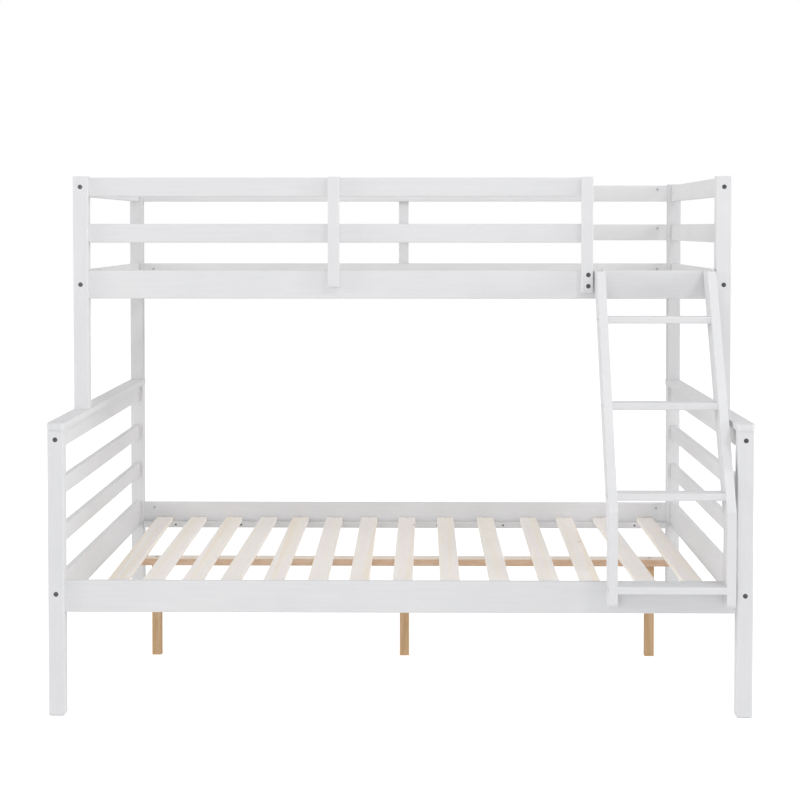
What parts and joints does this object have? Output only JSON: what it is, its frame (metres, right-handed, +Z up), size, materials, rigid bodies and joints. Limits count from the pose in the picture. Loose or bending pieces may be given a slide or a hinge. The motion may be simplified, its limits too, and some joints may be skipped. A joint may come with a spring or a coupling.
{
  "type": "bunk bed with ladder",
  "caption": "Wooden bunk bed: a narrower upper bed with guard rails stands on a wider slatted lower bed, with a leaning flat-rung ladder at one end of the front.",
  "frame": {"origin": "on the floor, below the centre of the whole object's box", "axes": "+X along the length of the bed towards the ladder's end, +Y from the ladder side to the back, +Z up"},
  "size_m": [1.996, 1.5184, 1.539],
  "materials": {
    "white_paint": "satin white paint on solid pine, faint grain",
    "pine": "raw pale pine, matt",
    "support_pine": "raw tan pine, matt",
    "dark_steel": "dark zinc plated",
    "zinc": "bright zinc plated",
    "white_metal": "white powder coat"
  },
  "bodies": {
    "lower_bed": {"lower_leg_front_left": "white_paint", "lower_leg_front_right": "white_paint", "lower_leg_back_left": "white_paint", "lower_leg_back_right": "white_paint", "cap_left": "white_paint", "cap_right": "white_paint", "lower_end_top_rail_left": "white_paint", "lower_end_top_rail_right": "white_paint", "lower_end_upper_board_left": "white_paint", "lower_end_upper_board_right": "white_paint", "lower_end_lower_board_left": "white_paint", "lower_end_lower_board_right": "white_paint", "lower_end_bottom_rail_left": "white_paint", "lower_end_bottom_rail_right": "white_paint", "lower_side_rail_front": "white_paint", "lower_side_rail_back": "white_paint", "lower_ledger_front": "white_paint", "lower_ledger_back": "white_paint", "lower_slats": "pine", "centre_beam": "pine", "support_leg_left": "support_pine", "support_leg_middle": "support_pine", "support_leg_right": "support_pine", "lower_bolts": "dark_steel", "lower_barrel_nuts": "zinc", "lower_screws": "dark_steel", "locating_pins": "zinc"},
    "upper_bunk": {"upper_post_front_left": "white_paint", "upper_post_front_right": "white_paint", "upper_post_back_left": "white_paint", "upper_post_back_right": "white_paint", "upper_end_top_rail_left": "white_paint", "upper_end_top_rail_right": "white_paint", "upper_end_middle_rail_left": "white_paint", "upper_end_middle_rail_right": "white_paint", "upper_end_bottom_rail_left": "white_paint", "upper_end_bottom_rail_right": "white_paint", "upper_side_rail_front": "white_paint", "upper_side_rail_back": "white_paint", "upper_ledger_front": "white_paint", "upper_ledger_back": "white_paint", "guard_rail_front_lower": "white_paint", "guard_rail_front_top": "white_paint", "guard_rail_back_lower": "white_paint", "guard_rail_back_top": "white_paint", "guard_upright_middle": "white_paint", "guard_upright_ladder": "white_paint", "guard_upright_back": "white_paint", "upper_slats": "pine", "upper_bolts": "dark_steel", "upper_barrel_nuts": "zinc", "upper_screws": "dark_steel"},
    "ladder": {"ladder_stringer_left": "white_paint", "ladder_stringer_right": "white_paint", "ladder_rung_1": "white_paint", "ladder_rung_2": "white_paint", "ladder_rung_3": "white_paint", "ladder_rung_4": "white_paint", "ladder_hooks": "white_metal", "ladder_screws": "dark_steel"}
  },
  "joints": [
    {"name": "upper_bunk_lift", "type": "slide", "parent": "lower_bed", "child": "upper_bunk", "axis": [0, 0, 1], "range_m": [0, 0.06]},
    {"name": "ladder_lift", "type": "slide", "parent": "upper_bunk", "child": "ladder", "axis": [0, 0, 1], "range_m": [0, 0.05]}
  ]
}
